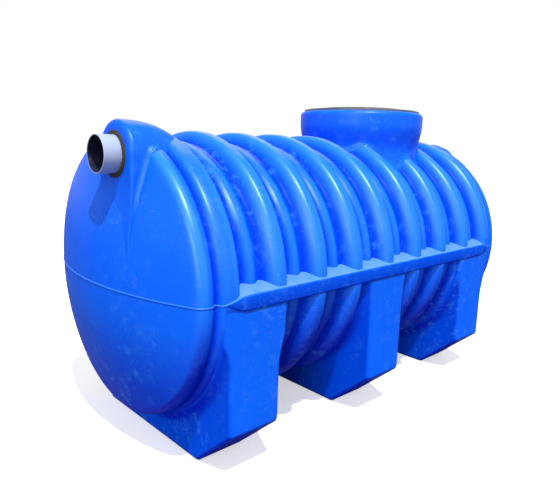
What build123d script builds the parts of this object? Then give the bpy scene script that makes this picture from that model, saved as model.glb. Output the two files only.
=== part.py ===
from build123d import *
import math
import os

# Moulded septic tank lying on three saddle feet, in millimetres.
# X runs along the tank with the inlet at the -X end, Z is up, and the floor is Z = 0.
# The origin lies on the floor under the middle rib.

# Barrel
RIB_COUNT = 9
RIB_PITCH = 178.0
RIB_RADIUS = 458.0
RIB_HEIGHT = 46.0
RIB_CREST_WIDTH = 56.0
RIB_CREST_ROUNDING = 14.0
RIB_CREST_DROP = 9.0
RIB_FLANK_RUN = 18.0
SMALL_RIB_HEIGHT = 13.0
SMALL_RIB_WIDTH = 18.0
SMALL_RIB_FLANK_RUN = 21.0
WALL = 8.0
GROUND_CLEARANCE = 95.0
SEAM_DROP = 7.0

# Domed ends
SHOULDER_OFFSET = 80.0
SHOULDER_DROP = 12.0
CREASE_DROP = 25.0
CREASE_RUN = 12.0
DOME_DEPTH = 115.0
DOME_KNUCKLE_RADIUS = 28.0

# Side ledges
LEDGE_PROUD = 9.0
LEDGE_ABOVE_SEAM = 22.0
LEDGE_BELOW_SEAM = 28.0
LEDGE_END_SETBACK = 43.0
LEDGE_EDGE_RADIUS = 6.0

# Saddle feet
FOOT_LENGTH = 182.0
FOOT_TOP_GROWTH = 9.0
FOOT_SPACING_RIBS = 3.5
FOOT_SETBACK = 4.0
FOOT_CHAMFER_HEIGHT = 148.0
FOOT_BASE_HALF_WIDTH = 280.0
FOOT_EDGE_RADIUS = 12.0

# Pipe connections
PIPE_OUTER_DIAMETER = 110.0
PIPE_WALL = 3.2
PIPE_STANDOUT = 57.0
PIPE_INSIDE_REACH = 60.0
PIPE_TAIL_RELIEF = 0.6
PIPE_OFFSET_Y = -98.0
SEAL_WIDTH = 13.0
SEAL_STANDOUT = 5.0
INLET_BELOW_CREST = 76.0
INLET_OUTLET_DROP = 50.0
HOOD_HALF_WIDTH = 99.0
HOOD_FACE_SETBACK = 37.0
HOOD_END_OVERLAP = 30.0
HOOD_ROOF_FALL = 28.0
HOOD_EDGE_RADIUS = 14.0
FIT_CLEARANCE = 0.3

# Manhole
NECK_OFFSET_RIBS = 2
NECK_SIDE_ROOM = 191.0
NECK_TAPER = 9.0
NECK_WALL = 9.0
NECK_RISE = 109.0
NECK_EDGE_RADIUS = 18.0
NECK_SEAT_WIDTH = 44.0
NECK_SEAT_THICKNESS = 12.0
LID_RIM_INSET = 17.0
LID_THICKNESS = 8.0
LID_RIM_WIDTH = 72.0
LID_CENTRE_RISE = 8.0
LID_EDGE_RADIUS = 3.0
LID_SPIGOT_CLEARANCE = 6.0
LID_SPIGOT_DEPTH = 14.0
LID_SPIGOT_WALL = 6.0

# Values that follow from the sizes above
HALF_RIBS = (RIB_COUNT - 1) / 2
FIRST_RIB_X = -HALF_RIBS * RIB_PITCH
VALLEY_RADIUS = RIB_RADIUS - RIB_HEIGHT
SHOULDER_RADIUS = RIB_RADIUS - SHOULDER_DROP
CREASE_RADIUS = RIB_RADIUS - CREASE_DROP
AXIS_HEIGHT = RIB_RADIUS + GROUND_CLEARANCE
SHOULDER_X = -FIRST_RIB_X + SHOULDER_OFFSET
DOME_POLE_X = SHOULDER_X + DOME_DEPTH
SEAM_HEIGHT = AXIS_HEIGHT - SEAM_DROP
LEDGE_FACE_Y = RIB_RADIUS + LEDGE_PROUD
FOOT_FACE_Y = RIB_RADIUS - FOOT_SETBACK
FOOT_SPACING = FOOT_SPACING_RIBS * RIB_PITCH
HOOD_FACE_X = DOME_POLE_X - HOOD_FACE_SETBACK
INLET_HEIGHT = AXIS_HEIGHT + RIB_RADIUS - INLET_BELOW_CREST
OUTLET_HEIGHT = INLET_HEIGHT - INLET_OUTLET_DROP
NECK_X = NECK_OFFSET_RIBS * RIB_PITCH
NECK_TOP_HEIGHT = AXIS_HEIGHT + RIB_RADIUS + NECK_RISE
PIPE_RADIUS = PIPE_OUTER_DIAMETER / 2
PIPE_TAIL_RADIUS = PIPE_RADIUS - PIPE_TAIL_RELIEF
SEAL_RADIUS = PIPE_RADIUS + SEAL_WIDTH
NECK_TOP_RADIUS = RIB_RADIUS - NECK_SIDE_ROOM
NECK_FOOT_RADIUS = NECK_TOP_RADIUS - NECK_TAPER
MOUTH_RADIUS = NECK_TOP_RADIUS - NECK_SEAT_WIDTH
LID_RADIUS = NECK_TOP_RADIUS - LID_RIM_INSET
LID_CENTRE_RADIUS = LID_RADIUS - LID_RIM_WIDTH


def wall_outline():
    """Outline of the outer wall from shoulder to shoulder: distance along the axis and radius."""
    crest = RIB_CREST_WIDTH / 2
    flat = crest - RIB_CREST_ROUNDING
    edge = RIB_RADIUS - RIB_CREST_DROP
    foot = crest + RIB_FLANK_RUN
    small_crest = SMALL_RIB_WIDTH / 2
    small_foot = small_crest + SMALL_RIB_FLANK_RUN
    small_top = VALLEY_RADIUS + SMALL_RIB_HEIGHT
    crease = FIRST_RIB_X - foot
    points = [(-SHOULDER_X, SHOULDER_RADIUS), (crease - CREASE_RUN, SHOULDER_RADIUS), (crease, CREASE_RADIUS)]
    for number in range(RIB_COUNT):
        x = FIRST_RIB_X + number * RIB_PITCH
        if number > 0:
            points.append((x - foot, VALLEY_RADIUS))
        points += [(x - crest, edge), (x - flat, RIB_RADIUS), (x + flat, RIB_RADIUS), (x + crest, edge)]
        if number < RIB_COUNT - 1:
            middle = x + RIB_PITCH / 2
            points += [(x + foot, VALLEY_RADIUS), (middle - small_foot, VALLEY_RADIUS)]
            points += [(middle - small_crest, small_top), (middle + small_crest, small_top)]
            points.append((middle + small_foot, VALLEY_RADIUS))
    points += [(-crease, CREASE_RADIUS), (-crease + CREASE_RUN, SHOULDER_RADIUS), (SHOULDER_X, SHOULDER_RADIUS)]
    return points


def moved_inwards(points, distance):
    """The same outline moved square to itself towards the axis, with its ends kept in line."""
    moved = [(points[0][0], points[0][1] - distance)]
    for before, point, after in zip(points, points[1:], points[2:]):
        first = math.atan2(point[1] - before[1], point[0] - before[0])
        second = math.atan2(after[1] - point[1], after[0] - point[0])
        middle = (first + second) / 2
        reach = distance / math.cos((second - first) / 2)
        moved.append((point[0] + reach * math.sin(middle), point[1] - reach * math.cos(middle)))
    moved.append((points[-1][0], points[-1][1] - distance))
    return moved


def turned(points):
    """Solid turned about the tank's axis from an open outline."""
    closed = [(points[0][0], 0.0)] + points + [(points[-1][0], 0.0)]
    face = make_face(Plane.XZ * Polyline(*closed, close=True))
    return Pos(0, 0, AXIS_HEIGHT) * revolve(face, Axis.X, 360)


def dome_solid(inset, end):
    """Dished end: a shallow ball cap that rounds into the shoulder, on the side given by end."""
    knuckle_centre = SHOULDER_RADIUS - DOME_KNUCKLE_RADIUS
    rise = DOME_DEPTH - DOME_KNUCKLE_RADIUS
    full_radius = (knuckle_centre**2 + DOME_DEPTH**2 - DOME_KNUCKLE_RADIUS**2) / (2 * rise)
    turn = math.asin(knuckle_centre / (full_radius - DOME_KNUCKLE_RADIUS))
    cap_centre = DOME_DEPTH - full_radius
    cap_radius = full_radius - inset
    knuckle = DOME_KNUCKLE_RADIUS - inset
    pole = (DOME_DEPTH - inset, 0)
    on_cap = (cap_centre + cap_radius * math.cos(turn / 2), cap_radius * math.sin(turn / 2))
    join = (cap_centre + cap_radius * math.cos(turn), cap_radius * math.sin(turn))
    half_turn = (turn + math.pi / 2) / 2
    on_knuckle = (knuckle * math.cos(half_turn), knuckle_centre + knuckle * math.sin(half_turn))
    shoulder = (0, SHOULDER_RADIUS - inset)
    outline = [
        ThreePointArc(pole, on_cap, join),
        ThreePointArc(join, on_knuckle, shoulder),
        Line(shoulder, (0, 0)),
        Line((0, 0), pole),
    ]
    dish = revolve(Plane.XZ * make_face(outline), Axis.X, 360)
    placed = Pos(SHOULDER_X, 0, AXIS_HEIGHT) * dish
    if end < 0:
        placed = mirror(placed, Plane.YZ)
    return placed


def wedge(start, stop, x_low, x_high):
    """Sector round the axis between two angles, counted from +Y upwards."""
    reach = RIB_RADIUS * 2
    corners = [(0.0, 0.0)]
    steps = max(2, math.ceil((stop - start) / 30))
    for number in range(steps + 1):
        angle = math.radians(start + (stop - start) * number / steps)
        corners.append((reach * math.cos(angle), reach * math.sin(angle)))
    profile = make_face(Plane.YZ * Polyline(*corners, close=True))
    sector = extrude(profile, x_high - x_low)
    return Pos(x_low, 0, AXIS_HEIGHT) * sector


def foot_block(x, side):
    """Half of one saddle foot before the barrel is cut out of it."""
    top = SEAM_HEIGHT - LEDGE_BELOW_SEAM
    outline = [
        (0, 0),
        (FOOT_BASE_HALF_WIDTH, 0),
        (FOOT_FACE_Y, FOOT_CHAMFER_HEIGHT),
        (FOOT_FACE_Y, top),
        (0, top),
    ]
    across = extrude(make_face(Plane.YZ * Polyline(*outline, close=True)), FOOT_LENGTH, both=True)
    foot = FOOT_LENGTH / 2
    head = foot + FOOT_TOP_GROWTH / 2
    taper = [(-foot, 0), (foot, 0), (head, top), (-head, top)]
    along = extrude(make_face(Plane.XZ * Polyline(*taper, close=True)), RIB_RADIUS * 2, both=True)
    block = across & along
    edges = block.edges().filter_by_position(Axis.Y, FOOT_FACE_Y - 1, FOOT_FACE_Y + 1)
    upright = [edge for edge in edges if edge.bounding_box().size.Z > FOOT_CHAMFER_HEIGHT]
    block = fillet(upright, FOOT_EDGE_RADIUS)
    if side < 0:
        block = mirror(block, Plane.XZ)
    return Pos(x, 0, 0) * block


def ledge_bar(side):
    """Ledge along one side, before the barrel is cut out of it."""
    length = -2 * (FIRST_RIB_X + LEDGE_END_SETBACK)
    height = LEDGE_ABOVE_SEAM + LEDGE_BELOW_SEAM
    depth = LEDGE_FACE_Y - VALLEY_RADIUS / 2
    bar = Box(length, depth, height)
    outer = bar.edges().filter_by(Axis.X).sort_by(Axis.Y)[-2:]
    bar = fillet(outer, LEDGE_EDGE_RADIUS)
    middle = SEAM_HEIGHT + (LEDGE_ABOVE_SEAM - LEDGE_BELOW_SEAM) / 2
    bar = Pos(0, LEDGE_FACE_Y - depth / 2, middle) * bar
    if side < 0:
        bar = mirror(bar, Plane.XZ)
    return bar


def hood_section(x, height, inset):
    """Arch-topped cross-section of the hood, across the tank at x."""
    half = HOOD_HALF_WIDTH - inset
    left = PIPE_OFFSET_Y - half
    right = PIPE_OFFSET_Y + half
    arch = [
        Line((left, AXIS_HEIGHT), (left, height)),
        ThreePointArc((left, height), (PIPE_OFFSET_Y, height + half), (right, height)),
        Line((right, height), (right, AXIS_HEIGHT)),
        Line((right, AXIS_HEIGHT), (left, AXIS_HEIGHT)),
    ]
    return Pos(x, 0, 0) * (Plane.YZ * make_face(arch))


def hood_block(height, inset):
    """Hood at the inlet end, whose flat face takes the pipe; inset gives the room inside it."""
    start = inset - HOOD_FACE_X
    stop = FIRST_RIB_X + HOOD_END_OVERLAP
    block = loft([hood_section(start, height, inset), hood_section(stop, height - HOOD_ROOF_FALL, inset)])
    front = block.faces().sort_by(Axis.X)[0].edges()
    rounded = [edge for edge in front if edge.bounding_box().max.Z > AXIS_HEIGHT + 1]
    return fillet(rounded, HOOD_EDGE_RADIUS - inset / 2)


def seal_bore(height):
    """Cylinder through the hood's face that the rubber seal fills."""
    return Pos(-HOOD_FACE_X, PIPE_OFFSET_Y, height) * Rot(0, 90, 0) * Cylinder(SEAL_RADIUS, 4 * WALL)


def at_outlet(shape):
    """The same shape turned end for end."""
    return mirror(shape, Plane.YZ)


def pipe_stub(height):
    """Plain pipe end through the hood's face; its tail is turned down where the seal grips it."""
    length = PIPE_STANDOUT + PIPE_INSIDE_REACH
    mouth = PIPE_STANDOUT - SEAL_STANDOUT - FIT_CLEARANCE
    outside = Cylinder(PIPE_RADIUS, mouth, align=(Align.CENTER, Align.CENTER, Align.MIN))
    tail = Cylinder(PIPE_TAIL_RADIUS, length, align=(Align.CENTER, Align.CENTER, Align.MIN))
    hollow = Cylinder(PIPE_RADIUS - PIPE_WALL, length, align=(Align.CENTER, Align.CENTER, Align.MIN))
    return Pos(-HOOD_FACE_X - PIPE_STANDOUT, PIPE_OFFSET_Y, height) * Rot(0, 90, 0) * (outside + tail - hollow)


def pipe_seal(height):
    """Rubber ring that closes the gap between the pipe and the hood."""
    length = SEAL_STANDOUT + WALL
    ring = Cylinder(SEAL_RADIUS - FIT_CLEARANCE, length) - Cylinder(PIPE_TAIL_RADIUS + FIT_CLEARANCE, length)
    lip = ring.edges().filter_by(GeomType.CIRCLE).sort_by(Axis.Z)[-2:]
    ring = fillet(lip, SEAL_STANDOUT / 2)
    middle = -HOOD_FACE_X - SEAL_STANDOUT + length / 2
    return Pos(middle, PIPE_OFFSET_Y, height) * Rot(0, -90, 0) * ring


def neck_outer():
    """Closed outer form of the manhole neck, from the axis to its top."""
    outline = [
        (0, AXIS_HEIGHT),
        (NECK_FOOT_RADIUS, AXIS_HEIGHT),
        (NECK_FOOT_RADIUS, AXIS_HEIGHT + RIB_RADIUS),
        (NECK_TOP_RADIUS, NECK_TOP_HEIGHT - 2 * NECK_EDGE_RADIUS),
        (NECK_TOP_RADIUS, NECK_TOP_HEIGHT),
        (0, NECK_TOP_HEIGHT),
    ]
    form = revolve(make_face(Plane.XZ * Polyline(*outline, close=True)), Axis.Z, 360)
    top = form.faces().sort_by(Axis.Z)[-1].edges()
    return Pos(NECK_X, 0, 0) * fillet(top, NECK_EDGE_RADIUS)


def neck_hollow():
    """Room inside the neck wall, and the mouth through its top."""
    depth = NECK_TOP_HEIGHT - AXIS_HEIGHT
    radius = NECK_FOOT_RADIUS - NECK_WALL
    below = depth - NECK_SEAT_THICKNESS
    room = Pos(0, 0, AXIS_HEIGHT + below / 2) * Cylinder(radius, below)
    mouth = Pos(0, 0, AXIS_HEIGHT + depth / 2) * Cylinder(MOUTH_RADIUS, depth + 2)
    return Pos(NECK_X, 0, 0) * (room + mouth)


def lid_form():
    """Lid with a raised centre and a locating ring that drops into the mouth."""
    seat = NECK_TOP_HEIGHT
    disc = Pos(0, 0, seat + LID_THICKNESS / 2) * Cylinder(LID_RADIUS, LID_THICKNESS)
    centre = Cylinder(LID_CENTRE_RADIUS, LID_CENTRE_RISE)
    disc += Pos(0, 0, seat + LID_THICKNESS + LID_CENTRE_RISE / 2) * centre
    rims = disc.edges().filter_by(GeomType.CIRCLE)
    tops = [edge for edge in rims if edge.center().Z > seat + 1]
    outer = [edge for edge in tops if edge.radius > LID_CENTRE_RADIUS + 1 or edge.center().Z > seat + LID_THICKNESS + 1]
    disc = fillet(outer, LID_EDGE_RADIUS)
    ring_radius = MOUTH_RADIUS - LID_SPIGOT_CLEARANCE
    ring = Cylinder(ring_radius, LID_SPIGOT_DEPTH) - Cylinder(ring_radius - LID_SPIGOT_WALL, LID_SPIGOT_DEPTH)
    disc += Pos(0, 0, seat - LID_SPIGOT_DEPTH / 2) * ring
    return Pos(NECK_X, 0, FIT_CLEARANCE) * disc


def save(name, shape):
    """Write one sub-part to its own file."""
    shape.label = name
    export_step(shape, f"parts/{name}.step")


os.makedirs("parts", exist_ok=True)

outer_outline = wall_outline()
outer_barrel = turned(outer_outline)
barrel_wall = outer_barrel - turned(moved_inwards(outer_outline, WALL))
inlet_room = hood_block(INLET_HEIGHT, WALL) + seal_bore(INLET_HEIGHT)
outlet_room = at_outlet(hood_block(OUTLET_HEIGHT, WALL) + seal_bore(OUTLET_HEIGHT))

# Barrel panels: eight round the axis, in two lengths, parted along the mould seam
SEAM_ANGLE = -math.degrees(math.asin(SEAM_DROP / RIB_RADIUS))
upper_cuts = [SEAM_ANGLE, 45.0, 90.0, 135.0, 180.0 - SEAM_ANGLE]
lower_cuts = [225.0, 270.0, 315.0, 360.0 + SEAM_ANGLE]
cuts = upper_cuts + lower_cuts
panel_names = ["far_side", "far_crown", "near_crown", "near_side"]
panel_names += ["near_flank", "near_belly", "far_belly", "far_flank"]
for number, name in enumerate(panel_names):
    inlet_part = barrel_wall & wedge(cuts[number], cuts[number + 1], -SHOULDER_X, 0.0)
    outlet_part = barrel_wall & wedge(cuts[number], cuts[number + 1], 0.0, SHOULDER_X)
    if number < len(upper_cuts) - 1:
        inlet_part = inlet_part - inlet_room
        outlet_part = outlet_part - neck_hollow() - outlet_room
    save(f"barrel_inlet_{name}", inlet_part)
    save(f"barrel_outlet_{name}", outlet_part)

# Domed ends, parted at the mould seam
below_seam = Pos(0, 0, SEAM_HEIGHT / 2) * Box(4 * SHOULDER_X, 4 * RIB_RADIUS, SEAM_HEIGHT)
for end, name, room in ((-1, "inlet", inlet_room), (1, "outlet", outlet_room)):
    shell = dome_solid(0.0, end) - dome_solid(WALL, end) - room
    save(f"{name}_end_upper", shell - below_seam)
    save(f"{name}_end_lower", shell & below_seam)

# Ledges and feet stand on the barrel's outer surface
for side, name in ((-1, "near"), (1, "far")):
    save(f"ledge_{name}", ledge_bar(side) - outer_barrel)
    for number, place in enumerate(("inlet", "middle", "outlet")):
        x = (number - 1) * FOOT_SPACING
        save(f"foot_{place}_{name}", foot_block(x, side) - outer_barrel)

# Pipe connections
for end, name, height in ((-1, "inlet", INLET_HEIGHT), (1, "outlet", OUTLET_HEIGHT)):
    hood = hood_block(height, 0.0) - hood_block(height, WALL) - seal_bore(height)
    hood = hood - outer_barrel - dome_solid(0.0, -1)
    pieces = {"hood": hood, "pipe": pipe_stub(height), "seal": pipe_seal(height)}
    for piece, shape in pieces.items():
        if end > 0:
            shape = at_outlet(shape)
        save(f"{name}_{piece}", shape)

# Manhole
save("manhole_neck", neck_outer() - neck_hollow() - outer_barrel)
save("manhole_lid", lid_form())
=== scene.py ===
"""Ribbed septic tank: moulded shell, feet, ledges, hoods, pipes and manhole, laid over the fixed model."""

import math

import bmesh
import bpy
import numpy as np
from mathutils import Matrix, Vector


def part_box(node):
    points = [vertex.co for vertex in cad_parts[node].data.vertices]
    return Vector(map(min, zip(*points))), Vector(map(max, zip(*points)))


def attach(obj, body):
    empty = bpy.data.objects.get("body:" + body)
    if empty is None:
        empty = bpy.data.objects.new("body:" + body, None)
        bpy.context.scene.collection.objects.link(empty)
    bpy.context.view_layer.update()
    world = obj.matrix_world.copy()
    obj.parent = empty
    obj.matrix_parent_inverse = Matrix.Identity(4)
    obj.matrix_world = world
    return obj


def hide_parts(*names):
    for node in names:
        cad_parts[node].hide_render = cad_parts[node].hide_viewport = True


bl_info = {
    "name": "Ribbed septic tank",
    "version": (1, 0, 0),
    "blender": (4, 5, 0),
    "location": "View3D > Sidebar > Tank",
    "description": "Builds a moulded septic tank with ribs, dished ends, hoods, feet and a manhole",
    "category": "Add Mesh",
}

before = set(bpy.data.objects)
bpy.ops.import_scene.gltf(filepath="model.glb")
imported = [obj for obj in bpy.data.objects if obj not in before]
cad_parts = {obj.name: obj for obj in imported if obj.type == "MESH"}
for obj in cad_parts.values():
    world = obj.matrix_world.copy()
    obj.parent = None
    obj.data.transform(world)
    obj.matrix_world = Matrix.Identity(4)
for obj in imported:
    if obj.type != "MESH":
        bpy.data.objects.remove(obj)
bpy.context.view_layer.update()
BODY = "tank"
LID_BODY = "lid"
NODES = sorted(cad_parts)


def low(node, axis):
    """Lowest place of a node along one axis."""
    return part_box(node)[0]["XYZ".index(axis)]


def high(node, axis):
    """Highest place of a node along one axis."""
    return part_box(node)[1]["XYZ".index(axis)]


# Places that the fixed model gives, in metres
END_TOP = high("inlet_end_upper", "Z")
END_BOTTOM = low("inlet_end_lower", "Z")
AXIS_Z = (END_TOP + END_BOTTOM) / 2
SEAM_Z = low("inlet_end_upper", "Z")
SHOULDER_R = (END_TOP - END_BOTTOM) / 2
SHOULDER_X = low("outlet_end_upper", "X")
POLE_X = high("outlet_end_upper", "X")
CREST_R = high("barrel_inlet_far_crown", "Z") - AXIS_Z
FACE_X = -low("inlet_hood", "X")
PIPE_Y = (low("inlet_pipe", "Y") + high("inlet_pipe", "Y")) / 2
PIPE_R = (high("inlet_pipe", "Y") - low("inlet_pipe", "Y")) / 2
MOUTH_X = -low("inlet_pipe", "X")
TAIL_X = -high("inlet_pipe", "X")
HOOD_HALF = (high("inlet_hood", "Y") - low("inlet_hood", "Y")) / 2
NECK_X = (low("manhole_neck", "X") + high("manhole_neck", "X")) / 2
NECK_R = (high("manhole_neck", "X") - low("manhole_neck", "X")) / 2
NECK_TOP = high("manhole_neck", "Z")
LID_TOP = high("manhole_lid", "Z")
LID_R = (high("manhole_lid", "X") - low("manhole_lid", "X")) / 2
LEDGE_TOP = high("ledge_near", "Z")
LEDGE_BOTTOM = low("ledge_near", "Z")
LEDGE_Y = -low("ledge_near", "Y")
LEDGE_END = high("ledge_near", "X")
FOOT_Y = high("foot_middle_far", "Y")

# Details of the moulding, in metres where they are lengths
RIB_POWER = 3.8
SMALL_RIB_POWER = 3
CREASE_HALF = 0.009
CREASE_PLACE = 1.3  # from the middle of the last rib, in half widths of a rib
HOOD_POWER = 2.9
HOOD_TUCK = 0.012  # how far the hood's end reaches over the foot of the end rib
TOUCHING = 1e-6
NOTHING = 1e-7
SHARP = math.radians(42.0)

# Camera in metres, degrees and millimetres, and light by direction, strength and angle across the sky
CAMERA_PLACE = (-1.6016, -1.5686, 0.9752)
CAMERA_YAW = 43.41
CAMERA_PITCH = 9.95
CAMERA_ROLL = 1.62
CAMERA_LENS = 35.07
SENSOR = 36.0
KEY_SUN = ((0.187, 0.427, -0.885), 3.7, 1.5)
FILL_SUN = ((0.84, 0.42, -0.34), 1.1, 30.0)
LAMP_DISTANCE = 3.0
SKY_LIGHT = 0.45
FLOOR_REACH = 30.0
FLOOR_DROP = 0.0005
FLOOR_GLOW = 0.55
FLOOR_THROW = 0.20

# How far a point stands out of its surroundings, which the shell's material paints as shade towards a hollow
# and as a highlight towards a crest
HOLLOW = 0.0
PLAIN = 0.5
CREST = 1.0

# How finely the surfaces are divided
CAP_RINGS = 30
KNUCKLE_RINGS = 12
RINGS_PER_RIB = 30
SKIN_COLUMNS = 91
LEDGE_COLUMNS = 560


class TankSizes(bpy.types.PropertyGroup):
    """Sizes of the moulded tank that the fixed model doesn't give by itself."""

    def length(title, words, value):
        """One length in metres."""
        return bpy.props.FloatProperty(
            name=title, description=words, default=value, unit="LENGTH", precision=4
        )

    rib_count: bpy.props.IntProperty(name="Ribs", description="Main ribs round the barrel", default=9)
    rib_pitch: length("Rib pitch", "Distance between main ribs along the tank", 0.178)
    rib_height: length("Rib height", "Height of a main rib over the valley's base", 0.058)
    rib_half: length("Rib half width", "Half of a main rib, at half of its height", 0.037)
    small_rib_height: length("Small rib height", "Height of the rib in each valley", 0.025)
    small_rib_half: length("Small rib half width", "Half of a small rib, at half of its height", 0.024)
    crease_depth: length("Crease depth", "Groove between the end rib and the shoulder", 0.020)
    knuckle: length("Knuckle radius", "Rounding between the shoulder and the dished end", 0.028)
    blend: length("Blend radius", "Rounding in the inner corners of the moulding", 0.012)
    edge: length("Edge radius", "Rounding of the outer corners of the moulding", 0.014)
    wall: length("Wall", "Thickness of the moulded wall", 0.006)
    ledge_slope: bpy.props.FloatProperty(
        name="Ledge slope", description="Rise of the shelf per run", default=0.42
    )
    ledge_slant: length("Ledge slant", "How far the ledge's face leans in towards its foot", 0.007)
    ledge_run_out: length("Ledge run-out", "Length over which a ledge's end runs out into the seam", 0.085)
    foot_blend: length("Foot blend radius", "Rounding between a foot's sides and the barrel", 0.022)
    foot_flare: length("Foot flare", "Widening of each side of a foot under the ledge", 0.005)
    seam_half: length("Seam half width", "Half of the mould's parting line", 0.0028)
    hood_fall: length("Hood fall", "How far the hood's roof sinks towards the barrel", 0.036)
    hood_lean: length("Hood lean", "How far the hood's face leans out below its pipe", 0.016)
    foot_half: length("Foot half length", "Half of a foot along the tank, on the floor", 0.091)
    foot_spacing: length("Foot spacing", "Distance between the feet along the tank", 0.623)
    foot_chamfer: length("Foot chamfer height", "Height at which the foot starts to slant in", 0.148)
    foot_base: length("Foot base", "Half width of the foot on the floor", 0.280)
    pipe_wall: length("Pipe wall", "Thickness of the pipe's wall", 0.0032)
    neck_foot: length("Neck foot radius", "Radius of the neck where it meets the barrel", 0.250)
    mouth: length("Mouth radius", "Radius of the opening under the lid", 0.223)
    lid_centre: length("Lid centre radius", "Radius of the lid's raised centre", 0.178)


class TankColours(bpy.types.PropertyGroup):
    """Colours of the tank and its stage."""

    def colour(title, words, value):
        """One linear colour."""
        return bpy.props.FloatVectorProperty(
            name=title, description=words, default=value, subtype="COLOR", size=3, min=0.0, max=1.0
        )

    # The shell's plain colour; deeper and paler copies below stand for painted shade and painted highlight.
    shell: colour("Shell", "Moulded body where the sun reaches it", (0.0, 0.125, 0.98))
    # Painted highlight: a paler copy of the shell for crests, shelves and ridges that face up.
    shell_painted_highlight: colour("Pale shell", "Bleached crests of the ribs", (0.010, 0.225, 1.0))
    # Painted shade: a deeper copy of the shell for hollows and undersides.
    shell_painted_shade: colour("Deep shell", "Hollows and undersides that keep their colour", (0.0, 0.020, 0.70))
    shell_worn: colour("Worn shell", "Scuffed and dusty places of the body", (0.03, 0.21, 0.95))
    shell_gloss: colour("Shell gloss", "Tint of the shell's highlights", (0.50, 0.76, 1.0))
    # Painted shade: the pipes' inside is painted dark for the shadow in them.
    inside: colour("Pipe's inside", "Stained inside of the pipes", (0.014, 0.016, 0.045))
    dust: colour("Dust", "Dry dust on the tank", (0.42, 0.47, 0.52))
    pipe: colour("Pipe", "Plain pipe ends", (0.40, 0.47, 0.66))
    rubber: colour("Rubber", "Seals round the pipes", (0.012, 0.012, 0.014))
    lid: colour("Lid", "Manhole lid", (0.045, 0.05, 0.06))
    floor: colour("Floor", "Floor under the tank", (0.80, 0.80, 0.80))


def sizes():
    """The sizes in use."""
    return bpy.context.scene.tank_sizes


def colours():
    """The colours in use."""
    return bpy.context.scene.tank_colours


def smooth(value):
    """Goes from 0 to 1 with level ends: three squares less two cubes of the value, held between 0 and 1."""
    t = np.clip(value, 0.0, 1.0)
    return t * t * (3.0 - 2.0 * t)


def barrel_radius(x):
    """Radius of the ribbed barrel at x.

    Each rib, main or small, is its height divided by one plus a power of the distance from its middle over
    its half width, which gives a rounded crest with soft feet. Beyond the last rib a crease, shaped like a
    bell curve, leads to the shoulder.
    """
    s = sizes()
    x = np.asarray(x, dtype=float)
    half_run = (s.rib_count - 1) / 2 * s.rib_pitch
    valley = CREST_R - s.rib_height
    beyond = np.abs(x) - half_run
    crease_at = beyond - s.rib_half * CREASE_PLACE
    band = SHOULDER_R - s.crease_depth * np.exp(-((crease_at / CREASE_HALF) ** 2))
    level = np.where(beyond > 0.0, band, valley)
    last = (s.rib_count - 1) / 2
    nearest = np.clip(np.round(x / s.rib_pitch), -last, last)
    off = np.abs(x - nearest * s.rib_pitch)
    main = 1.0 / (1.0 + (off / s.rib_half) ** RIB_POWER)
    middle = (np.floor(x / s.rib_pitch) + 0.5) * s.rib_pitch
    small_off = np.abs(x - middle)
    small = np.where(beyond > 0.0, 0.0, 1.0 / (1.0 + (small_off / s.small_rib_half) ** SMALL_RIB_POWER))
    return level + (CREST_R - level) * main + s.small_rib_height * small


def end_shape():
    """Dished end: radius of the knuckle's centre, knuckle radius, cap centre and cap radius.

    Places along the axis count from the shoulder plane. The cap is the sphere that reaches the pole and
    touches the knuckle.
    """
    knuckle = sizes().knuckle
    depth = POLE_X - SHOULDER_X
    centre = SHOULDER_R - knuckle
    cap = (centre**2 + depth**2 - knuckle**2) / (2 * (depth - knuckle))
    return centre, knuckle, depth - cap, cap


def height_over_skin(x, y, z):
    """Distance of points above the tank's skin.

    Over the barrel it is measured along the radius, and over an end along the normal of the cap or knuckle.
    """
    centre, knuckle, cap_centre, cap = end_shape()
    radius = np.hypot(y, z - AXIS_Z)
    out = np.abs(x) - SHOULDER_X
    over_barrel = radius - barrel_radius(x)
    over_cap = np.hypot(radius, out - cap_centre) - cap
    over_knuckle = np.hypot(radius - centre, out) - knuckle
    past_join = radius * -cap_centre > centre * (out - cap_centre)
    over_end = np.where(past_join & (radius > centre), over_knuckle, over_cap)
    return np.where(out > 0.0, over_end, over_barrel)


def flare(height, radius):
    """How far a wall swells beside the skin: a quarter circle from the radius down to the skin."""
    rest = radius - np.clip(height, 0.0, radius)
    return radius - np.sqrt(np.maximum(radius**2 - rest**2, 0.0))


def rounded_path(corners, radii, step):
    """Points along a polyline whose corners are arcs tangent to both sides, about one step apart."""
    corners = [np.array(corner, dtype=float) for corner in corners]
    path = [corners[0]]
    for before, corner, after, radius in zip(corners, corners[1:], corners[2:], radii):
        to_before = (before - corner) / np.linalg.norm(before - corner)
        to_after = (after - corner) / np.linalg.norm(after - corner)
        half_angle = math.acos(float(np.clip(to_before @ to_after, -1, 1))) / 2
        reach = radius / math.tan(half_angle)
        halving = to_before + to_after
        middle = corner + halving / np.linalg.norm(halving) * radius / math.sin(half_angle)
        start = corner + to_before * reach - middle
        stop = corner + to_after * reach - middle
        turn = math.pi - 2 * half_angle
        count = max(4, int(turn * radius / step * 3) + 2)
        share = np.linspace(0.0, 1.0, count)[:, None]
        arc = middle + (np.sin((1 - share) * turn) * start + np.sin(share * turn) * stop) / math.sin(turn)
        path.extend(arc)
    path.append(corners[-1])
    path = np.array(path)
    gaps = np.linalg.norm(np.diff(path, axis=0), axis=1)
    filled = [path[:1]]
    for number, gap in enumerate(gaps):
        count = max(1, int(round(gap / step)))
        share = np.arange(1, count + 1)[:, None] / count
        filled.append(path[number] + share * (path[number + 1] - path[number]))
    return np.concatenate(filled)


def add_values(mesh, name, values):
    """Store one number for each point of a mesh."""
    mesh.attributes.new(name, "FLOAT", "POINT").data.foreach_set("value", np.ascontiguousarray(values))


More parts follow.
